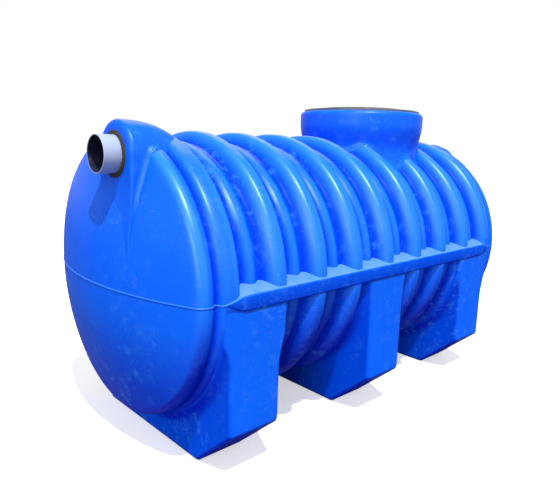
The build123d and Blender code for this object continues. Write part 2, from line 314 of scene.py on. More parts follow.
def surface(name, points, body=BODY, closed=False, keep=None, flip=False, wall=0.0, raised=PLAIN):
    """Mesh of a grid of points, with one quad between each four neighbours.

    closed joins the last column to the first, keep is a mask of the quads, flip turns the faces round and
    wall thickens the surface inwards. raised tells the material how far each point stands out of its
    surroundings, from 0 in a hollow to 1 on a crest, which the shell paints as shade and as a highlight, and
    facing how far its normal points up.
    """
    rows, columns = points.shape[:2]
    index = np.arange(rows * columns).reshape(rows, columns)
    if closed:
        index = np.concatenate([index, index[:, :1]], axis=1)
    quads = np.stack([index[:-1, :-1], index[:-1, 1:], index[1:, 1:], index[1:, :-1]], axis=-1)
    if keep is not None:
        quads = quads[keep]
    quads = quads.reshape(-1, 4)
    if flip:
        quads = quads[:, ::-1]
    used, quads = np.unique(quads, return_inverse=True)
    flat = points.reshape(-1, 3)[used]
    mesh = bpy.data.meshes.new(name)
    mesh.from_pydata(flat, [], quads.reshape(-1, 4).tolist())
    stands_out = np.broadcast_to(np.asarray(raised, dtype=np.float32), points.shape[:2]).reshape(-1)[used]
    add_values(mesh, "raised", stands_out)
    piece = bpy.data.objects.new(name, mesh)
    bpy.context.scene.collection.objects.link(piece)
    close_poles(mesh)
    mesh.polygons.foreach_set("use_smooth", np.ones(len(mesh.polygons), dtype=bool))
    normals = np.empty(len(mesh.vertices) * 3, dtype=np.float32)
    mesh.vertex_normals.foreach_get("vector", normals)
    add_values(mesh, "facing", normals[2::3])
    if wall:
        thick = piece.modifiers.new("Wall", "SOLIDIFY")
        thick.thickness = wall
        thick.offset = -1.0
    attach(piece, body)
    return piece


def close_poles(mesh):
    """Merge the points that fall together at poles and seams, and keep open and steep edges sharp.

    Edges that the merging leaves without a face are deleted.
    """
    work = bmesh.new()
    work.from_mesh(mesh)
    bmesh.ops.remove_doubles(work, verts=work.verts, dist=TOUCHING)
    bmesh.ops.dissolve_degenerate(work, edges=work.edges, dist=NOTHING)
    loose = [edge for edge in work.edges if not edge.link_faces]
    bmesh.ops.delete(work, geom=loose, context="EDGES")
    for edge in work.edges:
        edge.smooth = not edge.is_boundary and edge.calc_face_angle(0.0) < SHARP
    work.to_mesh(mesh)
    work.free()


def turned(name, profile, middle, axis, body=BODY, count=96, flip=False, raised=PLAIN):
    """Profile of (radius, distance) points turned once round an axis through the middle."""
    angle = np.arange(count) / count * 2 * math.pi
    profile = np.array(profile)
    ring = profile[:, None, 0] * np.stack([np.cos(angle), np.sin(angle)])[:, None, :]
    along = np.repeat(profile[:, None, 1], count, axis=1)
    order = (ring[0], ring[1], along) if axis == "Z" else (along, ring[0], ring[1])
    points = np.stack(order, axis=-1) + np.array(middle)
    raised = np.repeat(np.broadcast_to(raised, len(profile))[:, None], count, axis=1)
    return surface(name, points, body=body, closed=True, flip=flip, raised=raised)


def skin_profile():
    """Outline of the skin from pole to pole: places along the axis and radii."""
    centre, knuckle, cap_centre, cap = end_shape()
    turn = math.asin(centre / (cap - knuckle))
    on_cap = np.linspace(0.0, turn, CAP_RINGS)[:-1]
    on_knuckle = np.linspace(turn, math.pi / 2, KNUCKLE_RINGS)[:-1]
    out = np.concatenate([cap_centre + cap * np.cos(on_cap), knuckle * np.cos(on_knuckle)])
    radius = np.concatenate([cap * np.sin(on_cap), centre + knuckle * np.sin(on_knuckle)])
    fine = sizes().rib_pitch / RINGS_PER_RIB
    along = np.linspace(-SHOULDER_X, SHOULDER_X, int(2 * SHOULDER_X / fine) + 1)
    x = np.concatenate([-SHOULDER_X - out, along, SHOULDER_X + out[::-1]])
    r = np.concatenate([radius, barrel_radius(along), radius[::-1]])
    return x, r


def hood_fall(x):
    """How far the hood's roof has sunk at x: a power of the share of its run, steeper near its end."""
    run = FACE_X - hood_end() - HOOD_TUCK
    furthest = 1.2
    share = np.clip((FACE_X - np.abs(x)) / run, 0.0, furthest)
    return sizes().hood_fall * share**HOOD_POWER


def hood_end():
    """Place of the hood's last edge on the end rib."""
    s = sizes()
    return (s.rib_count - 1) / 2 * s.rib_pitch - s.rib_half + HOOD_TUCK


def under_hood(x, y, z, pipe_z):
    """True inside a hood, where the skin behind it is left open.

    The opening is an arch three walls narrower than the hood. It starts a share of the hood's half width
    below the pipe's axis, and stops short of the hood's end.
    """
    half = HOOD_HALF - sizes().wall * 3
    sill = pipe_z - HOOD_HALF * 0.72
    least_height = 0.01
    short_of_end = 0.02
    inside_sides = np.abs(y - PIPE_Y) < half
    arch = pipe_z - hood_fall(x) + np.sqrt(np.maximum(half**2 - (y - PIPE_Y) ** 2, 0.0))
    above = z > np.minimum(sill, arch - least_height)
    return inside_sides & above & (z < arch) & (np.abs(x) > hood_end() + short_of_end)


def skin_half(name, upper):
    """Half of the skin: the outline turned about the axis above or below the seam, open at hoods and neck.

    Each ring starts and stops at the angle whose sine is the seam's height over the axis divided by the
    ring's radius. Beside a foot the rings are held behind its face, and let go smoothly past its sides
    and above the ledge's underside.
    """
    x, r = skin_profile()
    dip = np.arcsin(np.clip((SEAM_Z - AXIS_Z) / np.maximum(r, TOUCHING), -1.0, 1.0))[:, None]
    start = dip if upper else math.pi - dip
    stop = math.pi - dip if upper else 2 * math.pi + dip
    angle = start + (stop - start) * np.linspace(0.0, 1.0, SKIN_COLUMNS)
    grid_x = np.repeat(x[:, None], angle.shape[1], axis=1)
    radius = np.repeat(r[:, None], angle.shape[1], axis=1)
    y = radius * np.cos(angle)
    z = AXIS_Z + radius * np.sin(angle)
    s = sizes()
    from_foot = np.min([np.abs(grid_x - number * s.foot_spacing) for number in (-1, 0, 1)], axis=0)
    behind_foot, let_out, run_out = 0.003, 0.012, 0.06
    limit = FOOT_Y - behind_foot + let_out * smooth((from_foot - s.foot_half - s.foot_blend) / run_out)
    let_out_above, run_out_above = 0.010, 0.004
    limit = limit + let_out_above * smooth((z - LEDGE_BOTTOM) / run_out_above)
    y = np.clip(y, -limit, limit)
    points = np.stack([grid_x, y, z], axis=-1)
    centre = (points[:-1, :-1] + points[:-1, 1:] + points[1:, 1:] + points[1:, :-1]) / 4
    cx, cy, cz = centre[..., 0], centre[..., 1], centre[..., 2]
    rim = 0.012
    open_neck = (np.hypot(cx - NECK_X, cy) < s.neck_foot - rim) & (cz > AXIS_Z)
    open_inlet = (cx < 0) & under_hood(cx, cy, cz, pipe_height("inlet"))
    open_outlet = (cx > 0) & under_hood(cx, cy, cz, pipe_height("outlet"))
    keep = ~(open_neck | open_inlet | open_outlet)
    beside = 6
    count = 2 * beside + 1
    around = np.convolve(np.pad(r, beside, mode="edge"), np.ones(count) / count, mode="valid")
    # Relief against the neighbouring rings: hollows get painted shade, crests a painted highlight.
    full_relief = 0.030
    stands_out = np.clip(PLAIN + (r - around) / full_relief, HOLLOW, CREST)
    # Painted highlight on the outer half of the knuckle ring.
    on_end = PLAIN + 0.35 * smooth((r - SHOULDER_R + s.knuckle) / s.knuckle)
    raised = np.where(np.abs(x) < SHOULDER_X, stands_out, on_end)[:, None] + np.zeros_like(angle)
    return surface(name, points, keep=keep, wall=s.wall, raised=raised)


def pipe_height(end):
    """Height of a pipe's axis."""
    node = f"{end}_pipe"
    return (low(node, "Z") + high(node, "Z")) / 2


def names_with(*words):
    """Fixed nodes whose names hold one of the words."""
    return [node for node in NODES if any(word in node for word in words)]


class TANK_OT_skin(bpy.types.Operator):
    """Ribbed barrel and dished ends, in an upper and a lower half"""

    bl_idname = "tank.skin"
    bl_label = "Skin"

    def execute(self, context):
        upper = skin_half("skin_upper", True)
        lower = skin_half("skin_lower", False)
        over = names_with("_side", "_crown", "_end_upper")
        under = names_with("_flank", "_belly", "_end_lower")
        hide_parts(*over)
        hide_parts(*under)
        for piece in (upper, lower):
            piece.data.materials.append(shell_material())
        return {"FINISHED"}


def seam_path():
    """Path of the parting line round one end, from ledge to ledge: places and outward normals in plan."""
    x, r = skin_profile()
    overlap = 0.012
    chosen = x < overlap - LEDGE_END
    x = x[chosen]
    r = r[chosen]
    reach = np.sqrt(np.maximum(r**2 - (SEAM_Z - AXIS_Z) ** 2, 0.0))
    clear_of_pole = 0.004
    keep = reach > clear_of_pole
    far = np.stack([x[keep], reach[keep]], axis=-1)[::-1]
    near = np.stack([x[keep], -reach[keep]], axis=-1)
    path = np.concatenate([far, near])
    along = np.gradient(path, axis=0)
    along /= np.linalg.norm(along, axis=1, keepdims=True)
    outward = np.stack([along[:, 1], -along[:, 0]], axis=-1)
    return path, outward


def seam_bead(name, end):
    """Parting line: a low half round bead carried along the skin at the seam's height."""
    half = sizes().seam_half
    flatness = 0.62
    path, outward = seam_path()
    turn = np.radians(np.linspace(-110.0, 110.0, 9))
    out = half * flatness * np.cos(turn)
    up = half * np.sin(turn)
    xy = path[:, None, :] + outward[:, None, :] * out[None, :, None]
    z = np.repeat(SEAM_Z + up[None, :], len(path), axis=0)
    points = np.concatenate([xy, z[..., None]], axis=-1)
    points[..., 0] *= -end
    # A raised of 0.8 gives the bead a partly painted highlight.
    return surface(name, points, flip=end < 0, raised=0.8)


class TANK_OT_seams(bpy.types.Operator):
    """Parting line of the mould, round both ends"""

    bl_idname = "tank.seams"
    bl_label = "Seams"

    def execute(self, context):
        for name, end in (("seam_inlet", -1), ("seam_outlet", 1)):
            piece = seam_bead(name, end)
            piece.data.materials.append(shell_material())
        return {"FINISHED"}


def ledge(name, side):
    """Ledge: a section of shelf, rounded lip, slanting face and underside, carried along the side.

    Its shelf rises evenly from the lip to the skin. Beyond its straight run the section shrinks
    smoothly to the parting line and sinks into the end rib.
    """
    s = sizes()
    edge = 0.006
    sink = 0.006
    end_height = 0.003
    end_depth = 0.001
    across = 12
    around = 5
    x = np.linspace(-LEDGE_END - s.ledge_run_out, LEDGE_END + s.ledge_run_out, LEDGE_COLUMNS)
    full = 1.0 - smooth((np.abs(x) - LEDGE_END) / s.ledge_run_out)
    top = SEAM_Z + end_height + (LEDGE_TOP - SEAM_Z - end_height) * full
    bottom = SEAM_Z - end_height - (SEAM_Z - end_height - LEDGE_BOTTOM) * full
    skin = barrel_radius(x)
    inner = np.sqrt(skin**2 - (top - AXIS_Z) ** 2)
    under = np.sqrt(skin**2 - (bottom - AXIS_Z) ** 2)
    widest = np.maximum(inner, under)
    face = widest + end_depth + (LEDGE_Y - widest - end_depth) * full
    share = np.linspace(0.0, 1.0, across)
    lip = face - edge
    top_y = (inner - sink)[:, None] + (lip - inner + sink)[:, None] * share
    top_z = top[:, None] + s.ledge_slope * (lip[:, None] - top_y)
    corner = np.radians(np.linspace(66.0, 0.0, around))
    upper_y = lip[:, None] + edge * np.cos(corner)
    upper_z = (top - edge)[:, None] + edge * np.sin(corner)
    foot_of_face = lip - s.ledge_slant * full
    lower_y = foot_of_face[:, None] + edge * np.cos(corner[::-1])
    lower_z = (bottom + edge)[:, None] - edge * np.sin(corner[::-1])
    back = foot_of_face[:, None] + (under - sink - foot_of_face)[:, None] * share
    y = np.concatenate([top_y, upper_y, lower_y, back], axis=1)
    z = np.concatenate([top_z, upper_z, lower_z, np.repeat(bottom[:, None], len(share), axis=1)], axis=1)
    grid_x = np.repeat(x[:, None], y.shape[1], axis=1)
    points = np.stack([grid_x, y * side, z], axis=-1)
    # Painted highlight on the shelf, painted shade on the face and underside of the ledge.
    lip_shading = [np.linspace(0.8, 0.34, around), np.linspace(0.30, 0.2, around)]
    raised = np.concatenate([np.full(across, CREST), *lip_shading, np.full(across, 0.1)])
    return surface(name, points, flip=side > 0, raised=raised)


class TANK_OT_ledges(bpy.types.Operator):
    """Ledges along both sides"""

    bl_idname = "tank.ledges"
    bl_label = "Ledges"

    def execute(self, context):
        for name, side in (("near", -1), ("far", 1)):
            piece = ledge(f"shelf_{name}", side)
            piece.data.materials.append(shell_material())
            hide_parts(f"ledge_{name}")
        return {"FINISHED"}


def foot_swell(height):
    """How far a foot's side swells beside the skin: by the square of what is missing to twice the blend."""
    blend = sizes().foot_blend
    return blend * np.clip(1.0 - height / (2.0 * blend), 0.0, 1.0) ** 2


def foot(name, middle):
    """Saddle foot: its outline across the tank carried round, with rounded edges and flared inner corners.

    Rows follow the outline, columns run from the skin over one side, the outer band and the other side.
    """
    s = sizes()
    tuck = 0.010
    sunk = 0.012
    knee, heel = 0.020, 0.016
    step = 0.012
    flared = 0.075
    draft = 0.0045
    on_edges, on_sides = 7, 22
    right = [(FOOT_Y, LEDGE_BOTTOM + tuck), (FOOT_Y, s.foot_chamfer), (s.foot_base, 0.0)]
    left = [(-y, z) for y, z in right[::-1]]
    outline = rounded_path(right + left, (knee, heel, heel, knee), step)
    along = np.gradient(outline, axis=0)
    along /= np.linalg.norm(along, axis=1, keepdims=True)
    inward = np.stack([along[:, 1], -along[:, 0]], axis=-1)
    axis = np.array([0.0, AXIS_Z])
    to_axis = axis - outline
    reach = np.linalg.norm(to_axis, axis=1, keepdims=True)
    deep = axis - to_axis / reach * (CREST_R - s.rib_height - sunk)
    turn = np.radians(np.linspace(0.0, 90.0, on_edges))
    side_share = np.linspace(1.0, 0.0, on_sides)
    near_top = np.clip((outline[:, 1] - LEDGE_BOTTOM + flared) / flared, 0.0, 1.0)
    half = s.foot_half + draft * outline[:, 1] / LEDGE_BOTTOM + s.foot_flare * near_top**2
    shoulder = outline + inward * s.edge
    on_side = shoulder[:, None, :] + (deep - shoulder)[:, None, :] * side_share[None, :, None]
    edge_in = s.edge * (1 - np.sin(turn))
    on_edge = outline[:, None, :] + inward[:, None, :] * edge_in[None, :, None]
    rounding = s.edge * (1 - np.cos(turn))[None, :]
    reaches = []
    for side in (-1, 1):
        over = height_over_skin(middle + side * half[:, None], on_side[..., 0], on_side[..., 1])
        out = half[:, None] + foot_swell(over)
        out = np.concatenate([out[:, :-1], out[:, -1:] - rounding], axis=1)
        reaches.append(middle + side * out)
    band = np.concatenate([on_side[:, :-1], on_edge], axis=1)
    yz = np.concatenate([band, band[:, ::-1]], axis=1)
    x = np.concatenate([reaches[0], reaches[1][:, ::-1]], axis=1)
    points = np.concatenate([x[..., None], yz], axis=-1)
    # Painted shade: the foot's sides are set towards a hollow.
    half_shading = np.concatenate([np.full(on_sides - 1, 0.28), np.linspace(0.3, PLAIN, on_edges)])
    return surface(name, points, raised=np.concatenate([half_shading, half_shading[::-1]]))


class TANK_OT_feet(bpy.types.Operator):
    """Three saddle feet"""

    bl_idname = "tank.feet"
    bl_label = "Feet"

    def execute(self, context):
        for number, place in enumerate(("inlet", "middle", "outlet")):
            piece = foot(f"saddle_{place}", (number - 1) * sizes().foot_spacing)
            piece.data.materials.append(shell_material())
            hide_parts(f"foot_{place}_near", f"foot_{place}_far")
        return {"FINISHED"}


def hood(name, end, pipe_z):
    """Hood: an arch outline swept along the tank from its flat face, flared where it meets the skin.

    Rows run from the hole for the seal over the face, the rounded edge and the wall to the end rib, and the
    last one turns inwards there. The face leans out below the pipe, by a smooth step of the depth.
    """
    s = sizes()
    bottom = pipe_z - HOOD_HALF * 3.4
    hole_r = PIPE_R + 0.012
    low_edge = 0.004
    edge_grows = 0.13
    turned_in = 0.030
    lean_from, lean_over = 0.07, 0.22
    fade_from, fade_over = 0.036, 0.04
    beside, beneath = 24, 16
    arch = np.radians(np.linspace(180.0, 0.0, 49))
    over = np.stack([HOOD_HALF * np.cos(arch), pipe_z + HOOD_HALF * np.sin(arch)], axis=-1)
    near = np.stack([np.full(beside, -HOOD_HALF), np.linspace(bottom, pipe_z, beside + 1)[:-1]], axis=-1)
    far = np.stack([np.full(beside, HOOD_HALF), np.linspace(pipe_z, bottom, beside + 1)[1:]], axis=-1)
    across = np.linspace(HOOD_HALF, -HOOD_HALF, beneath + 2)[1:-1]
    below = np.stack([across, np.full(beneath, bottom)], axis=-1)
    outline = np.concatenate([near, over, far, below])
    closed = np.concatenate([outline[-1:], outline, outline[:1]])
    along = closed[2:] - closed[:-2]
    along /= np.linalg.norm(along, axis=1, keepdims=True)
    outward = np.stack([-along[:, 1], along[:, 0]], axis=-1)
    high_up = smooth((outline[:, 1:] - pipe_z + edge_grows) / edge_grows)
    edge = low_edge + (s.edge - low_edge) * high_up
    centre = np.array([0.0, pipe_z])
    spoke = outline - centre
    hole = centre + spoke / np.linalg.norm(spoke, axis=1, keepdims=True) * hole_r
    inset = outline - outward * edge
    flat = np.full(len(outline), FACE_X)
    rows = [(hole, flat - s.wall), (hole, flat)]
    for share in np.linspace(0.0, 1.0, 6)[1:-1]:
        rows.append((hole + (inset - hole) * share, flat))
    for turn in np.radians(np.linspace(0.0, 90.0, 8)):
        rounded_x = flat - edge[:, 0] * (1 - math.cos(turn))
        rows.append((outline - outward * edge * (1 - math.sin(turn)), rounded_x))
    wall_start = rows[-1][1]
    for share in np.linspace(0.0, 1.0, 60)[1:]:
        rows.append((outline, wall_start + (hood_end() - wall_start) * share))
    rows.append((outline - outward * turned_in, np.full(len(outline), hood_end())))
    yz = np.array([row[0] for row in rows])
    x = np.array([row[1] for row in rows])
    y = yz[..., 0] + PIPE_Y
    z = yz[..., 1] - hood_fall(x)
    to_face = np.clip((x - hood_end()) / (FACE_X - hood_end()), 0.0, 1.0)
    x = x + s.hood_lean * smooth((pipe_z - lean_from - z) / lean_over) * to_face
    swell = flare(height_over_skin(x, y, z), s.blend) * smooth((FACE_X - x) / s.edge)
    swell = swell * smooth((x - SHOULDER_X + fade_from) / fade_over)
    y = y + outward[None, :, 0] * swell
    z = z + outward[None, :, 1] * swell
    points = np.stack([x * end, y, z], axis=-1)
    return surface(name, points, closed=True, flip=end < 0)


class TANK_OT_hoods(bpy.types.Operator):
    """Hoods that carry the pipes at both ends"""

    bl_idname = "tank.hoods"
    bl_label = "Hoods"

    def execute(self, context):
        for place, end in (("inlet", -1), ("outlet", 1)):
            piece = hood(f"arch_{place}", end, pipe_height(place))
            piece.data.materials.append(shell_material())
            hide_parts(f"{place}_hood")
        return {"FINISHED"}


def pipe(name, end, z):
    """Pipe end: a tube outline with softly broken edges, turned about the pipe's axis."""
    inner = PIPE_R - sizes().pipe_wall
    soft = 0.0008
    step = 0.0006
    outline = [
        (inner, -TAIL_X),
        (inner, -MOUTH_X + soft),
        (inner + soft, -MOUTH_X),
        (PIPE_R - soft, -MOUTH_X),
        (PIPE_R, -MOUTH_X + soft),
        (PIPE_R, -FACE_X),
        (PIPE_R - step, -FACE_X + step),
        (PIPE_R - step, -TAIL_X),
        (inner, -TAIL_X),
    ]
    outline = [(radius, -end * along) for radius, along in outline]
    # Painted shade: 0 on the inside wall, 1 outside.
    unshaded = [0.0, 0.0, 0.6, 1.0, 1.0, 1.0, 1.0, 0.0, 0.0]
    return turned(name, outline, (0.0, PIPE_Y, z), "X", flip=end > 0, raised=unshaded)


def seal(name, end, z):
    """Rubber seal: a ring with a rounded lip and a groove, turned about the pipe's axis."""
    clearance = 0.0002
    inner = PIPE_R + clearance
    outer = high("inlet_seal", "Y") - PIPE_Y
    front = -low("inlet_seal", "X")
    back = -high("inlet_seal", "X")
    lip = front - FACE_X
    outline = [
        (inner, back),
        (inner, front - lip * 0.4),
        (inner + lip * 0.3, front),
        (inner + lip * 1.1, front),
        (inner + lip * 1.4, front - lip * 0.5),
        (inner + lip * 1.7, front - lip * 0.1),
        (outer - lip * 0.3, front - lip * 0.2),
        (outer, front - lip * 0.6),
        (outer, back),
        (inner, back),
    ]
    outline = [(radius, end * along) for radius, along in outline]
    return turned(name, outline, (0.0, PIPE_Y, z), "X", flip=end > 0)


class TANK_OT_pipes(bpy.types.Operator):
    """Pipe ends and their rubber seals"""

    bl_idname = "tank.pipes"
    bl_label = "Pipes"

    def execute(self, context):
        for place, end in (("inlet", -1), ("outlet", 1)):
            z = pipe_height(place)
            tube = pipe(f"stub_{place}", end, z)
            tube.data.materials.append(pipe_material())
            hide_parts(f"{place}_pipe")
            ring = seal(f"gasket_{place}", end, z)
            ring.data.materials.append(rubber_material())
            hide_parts(f"{place}_seal")
        return {"FINISHED"}


def neck():
    """Manhole neck: a tapered outline with a round top edge, turned about its axis and flared at its foot."""
    s = sizes()
    count = 180
    edge = 0.018
    seat = 0.012
    lining = 0.006
    soft, crisp = 0.004, 0.002
    widens_from, widens_over = 0.06, 0.12
    angle = np.arange(count) / count * 2 * math.pi
    turn = np.radians(np.linspace(0.0, 90.0, 8))
    rise = np.linspace(0.0, 1.0, 26)
    base = AXIS_Z + CREST_R * 0.70
    wall_z = base + (NECK_TOP - edge - base) * rise
    taper = smooth((wall_z - (AXIS_Z + CREST_R - widens_from)) / widens_over)
    wall_r = s.neck_foot + (NECK_R - s.neck_foot) * taper
    top_r = NECK_R - edge + edge * np.cos(turn)
    top_z = NECK_TOP - edge + edge * np.sin(turn)
    inner = s.neck_foot - lining
    floor = NECK_TOP - seat
    radius = np.concatenate([wall_r, top_r, [s.mouth + crisp, s.mouth, s.mouth, inner, inner]])
    z = np.concatenate([wall_z, top_z, [NECK_TOP, NECK_TOP - crisp, floor, floor - soft, base]])
    radius = np.repeat(radius[:, None], len(angle), axis=1)
    z = np.repeat(z[:, None], len(angle), axis=1)
    across = radius * np.sin(angle)
    x = NECK_X + radius * np.cos(angle)
    over = height_over_skin(x, across, z)
    outer = np.arange(len(z))[:, None] < len(wall_z)
    swell = np.where(outer, flare(over, s.blend * 0.8), 0.0)
    x = x + swell * np.cos(angle)
    across = across + swell * np.sin(angle)
    points = np.stack([x, across, z], axis=-1)
    return surface("collar", points, closed=True)


def lid():
    """Lid: a disc with rounded edges, a raised centre and a locating ring, turned about its axis."""
    s = sizes()
    gap = 0.0003
    step = 0.008
    play = 0.006
    ring_width, ring_depth = 0.006, 0.014
    soft, crisp = 0.004, 0.001
    centre = s.lid_centre
    seat = NECK_TOP + gap
    face = LID_TOP - step
    ring = s.mouth - play
    outline = [
        (0.0, LID_TOP),
        (centre - soft, LID_TOP),
        (centre - crisp, LID_TOP - crisp),
        (centre, LID_TOP - soft),
        (centre + crisp, face + crisp),
        (centre + soft, face),
        (LID_R - soft, face),
        (LID_R - crisp, face - crisp),
        (LID_R, face - soft),
        (LID_R, seat + crisp),
        (LID_R - crisp, seat),
        (ring, seat),
        (ring, seat - ring_depth),
        (ring - ring_width, seat - ring_depth),
        (ring - ring_width, seat),
        (0.0, seat),
    ]
    return turned("cover", outline, (NECK_X, 0.0, 0.0), "Z", body=LID_BODY, count=160, flip=True)


class TANK_OT_manhole(bpy.types.Operator):
    """Manhole neck and its lid"""

    bl_idname = "tank.manhole"
    bl_label = "Manhole"

    def execute(self, context):
        collar = neck()
        collar.data.materials.append(shell_material())
        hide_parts("manhole_neck")
        cover = lid()
        cover.data.materials.append(lid_material())
        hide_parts("manhole_lid")
        return {"FINISHED"}


def new_material(name):
    """Node material with its shader and object coordinates, or the finished one if it exists already."""
    material = bpy.data.materials.get(name)
    if material:
        return material, None, None, None
    material = bpy.data.materials.new(name)
    material.use_nodes = True
    tree = material.node_tree
    shader = tree.nodes["Principled BSDF"]
    place = tree.nodes.new("ShaderNodeTexCoord").outputs["Object"]
    return material, tree, shader, place


def noise(tree, place, scale, detail=4.0, rough=0.55, stretch=None):
    """Noise texture on object coordinates, in waves per metre."""
    if stretch:
        mapping = tree.nodes.new("ShaderNodeMapping")
        mapping.inputs["Scale"].default_value = stretch
        tree.links.new(place, mapping.inputs["Vector"])
        place = mapping.outputs["Vector"]
    texture = tree.nodes.new("ShaderNodeTexNoise")
    texture.inputs["Scale"].default_value = scale
    texture.inputs["Detail"].default_value = detail
    texture.inputs["Roughness"].default_value = rough
    tree.links.new(place, texture.inputs["Vector"])
    return texture.outputs["Fac"]


def own_value(tree, name):
    """Number that the piece's own points carry."""
    node = tree.nodes.new("ShaderNodeAttribute")
    node.attribute_name = name
    return node.outputs["Fac"]


def span(tree, value, start, stop, low_value=0.0, high_value=1.0):
    """Value stretched from one range to another and held there."""
    node = tree.nodes.new("ShaderNodeMapRange")
    node.inputs["From Min"].default_value = start
    node.inputs["From Max"].default_value = stop
    node.inputs["To Min"].default_value = low_value
    node.inputs["To Max"].default_value = high_value
    tree.links.new(value, node.inputs["Value"])
    return node.outputs["Result"]


def mixed(tree, share, first, second):
    """Two colours mixed by a share."""
    node = tree.nodes.new("ShaderNodeMix")
    node.data_type = "RGBA"
    for socket, colour in ((node.inputs["A"], first), (node.inputs["B"], second)):
        if isinstance(colour, bpy.types.NodeSocket):
            tree.links.new(colour, socket)
        else:
            socket.default_value = (*colour, 1.0)
    tree.links.new(share, node.inputs["Factor"])
    return node.outputs["Result"]


def product(tree, first, second):
    """Two values multiplied."""
    node = tree.nodes.new("ShaderNodeMath")
    node.operation = "MULTIPLY"
    tree.links.new(first, node.inputs[0])
    if isinstance(second, bpy.types.NodeSocket):
        tree.links.new(second, node.inputs[1])
    else:
        node.inputs[1].default_value = second
    return node.outputs["Value"]


def bumped(tree, shader, layers):
    """Chain of bump nodes, one for each height, strength and depth."""
    normal = None
    for height, strength, depth in layers:
        bump = tree.nodes.new("ShaderNodeBump")
        bump.inputs["Strength"].default_value = strength
        bump.inputs["Distance"].default_value = depth
        tree.links.new(height, bump.inputs["Height"])
        if normal:
            tree.links.new(normal, bump.inputs["Normal"])
        normal = bump.outputs["Normal"]
    tree.links.new(normal, shader.inputs["Normal"])


def shell_material():
    """Satin moulded plastic: slow waves, fine grain, scuffs, and dust that gathers on level places.

    Hollows and undersides get painted shade in a deeper colour, and crests that face up a painted highlight
    in a paler colour. Crests that face the eye have the most gloss.
    """
    material, tree, shader, place = new_material("tank_shell")
    if not tree:
        return material
    c = colours()
    clouds = noise(tree, place, 3.2, 5.0)
    scuffs = noise(tree, place, 26.0, 9.0, 0.68)
    specks = noise(tree, place, 140.0, 4.0, 0.6)
    grain = noise(tree, place, 420.0, 2.0)
    waves = noise(tree, place, 7.0, 2.0)
    worn = product(tree, span(tree, scuffs, 0.52, 0.72), span(tree, clouds, 0.42, 0.62))
    scratches = noise(tree, place, 30.0, 8.0, 0.62, stretch=(1.0, 1.0, 5.0))
    scratched = product(tree, span(tree, scratches, 0.60, 0.70), span(tree, waves, 0.45, 0.60))
    dusty = product(tree, span(tree, specks, 0.60, 0.74), span(tree, clouds, 0.40, 0.60))
    raised = own_value(tree, "raised")
    facing = own_value(tree, "facing")
    level = span(tree, facing, 0.80, 0.99, 0.0, 0.42)
    dull = span(tree, scuffs, 0.30, 0.60, 0.5, 1.0)
    # Painted shade: hollows take the deeper colour.
    colour = mixed(tree, span(tree, raised, HOLLOW, PLAIN), tuple(c.shell_painted_shade), tuple(c.shell))
    # Painted highlight: crests that face up take the paler colour.
    highlight_share = product(tree, span(tree, raised, 0.55, CREST), span(tree, facing, -0.20, 0.10))
    colour = mixed(tree, highlight_share, colour, tuple(c.shell_painted_highlight))
    # Painted shade: undersides, whose normals point down, take the deeper colour.
    colour = mixed(tree, span(tree, facing, -0.08, -0.42), colour, tuple(c.shell_painted_shade))
    colour = mixed(tree, worn, colour, tuple(c.shell_worn))
    colour = mixed(tree, product(tree, scratched, 0.13), colour, tuple(c.dust))
    colour = mixed(tree, product(tree, dusty, 0.18), colour, tuple(c.dust))
    colour = mixed(tree, product(tree, level, dull), colour, tuple(c.dust))
    tree.links.new(colour, shader.inputs["Base Color"])
    rough = span(tree, scuffs, 0.35, 0.70, 0.34, 0.42)
    tree.links.new(rough, shader.inputs["Roughness"])
    glance = tree.nodes.new("ShaderNodeLayerWeight")
    to_the_eye = span(tree, glance.outputs["Facing"], 0.12, 0.50, 0.95, 0.12)
    gloss = product(tree, to_the_eye, span(tree, raised, 0.25, 0.75, 0.08, 1.0))
    tree.links.new(gloss, shader.inputs["Specular IOR Level"])
    shader.inputs["Specular Tint"].default_value = (*c.shell_gloss, 1.0)
    bumped(tree, shader, [(waves, 0.5, 0.004), (grain, 0.25, 0.0004), (scuffs, 0.12, 0.0008)])
    return material


def pipe_material():
    """Smooth plain plastic pipe, with painted shade inside, faint lengthwise drawing lines and a little dust.
    """
    material, tree, shader, place = new_material("pipe_plastic")
    if not tree:
        return material
    c = colours()
    lines = noise(tree, place, 60.0, 3.0, 0.5, stretch=(0.05, 1.0, 1.0))
    marks = noise(tree, place, 35.0, 6.0, 0.6)
    # Painted shade: the inside wall takes the dark inside colour.
    colour = mixed(tree, own_value(tree, "raised"), tuple(c.inside), tuple(c.pipe))
    colour = mixed(tree, span(tree, marks, 0.50, 0.75, 0.0, 0.12), colour, tuple(c.dust))
    tree.links.new(colour, shader.inputs["Base Color"])
    tree.links.new(span(tree, marks, 0.3, 0.7, 0.28, 0.42), shader.inputs["Roughness"])
    bumped(tree, shader, [(lines, 0.2, 0.0004)])
    return material


def rubber_material():
    """Matt black rubber with fine grain and dusty specks."""
    material, tree, shader, place = new_material("seal_rubber")
    if not tree:
        return material
    c = colours()
    grain = noise(tree, place, 500.0, 3.0)
    marks = noise(tree, place, 60.0, 5.0, 0.6)
    colour = mixed(tree, span(tree, marks, 0.55, 0.8, 0.0, 0.2), tuple(c.rubber), tuple(c.dust))
    tree.links.new(colour, shader.inputs["Base Color"])
    tree.links.new(span(tree, marks, 0.3, 0.7, 0.5, 0.7), shader.inputs["Roughness"])
    bumped(tree, shader, [(grain, 0.4, 0.0003)])
    return material


def lid_material():
    """Dark moulded plastic with stipple and pale dust."""
    material, tree, shader, place = new_material("lid_plastic")
    if not tree:
        return material
    c = colours()
    stipple = noise(tree, place, 260.0, 3.0, 0.6)
    clouds = noise(tree, place, 9.0, 6.0, 0.6)
    colour = mixed(tree, span(tree, clouds, 0.40, 0.80, 0.05, 0.30), tuple(c.lid), tuple(c.dust))
    tree.links.new(colour, shader.inputs["Base Color"])
    tree.links.new(span(tree, clouds, 0.3, 0.7, 0.45, 0.65), shader.inputs["Roughness"])
    bumped(tree, shader, [(stipple, 0.4, 0.0006)])
    return material


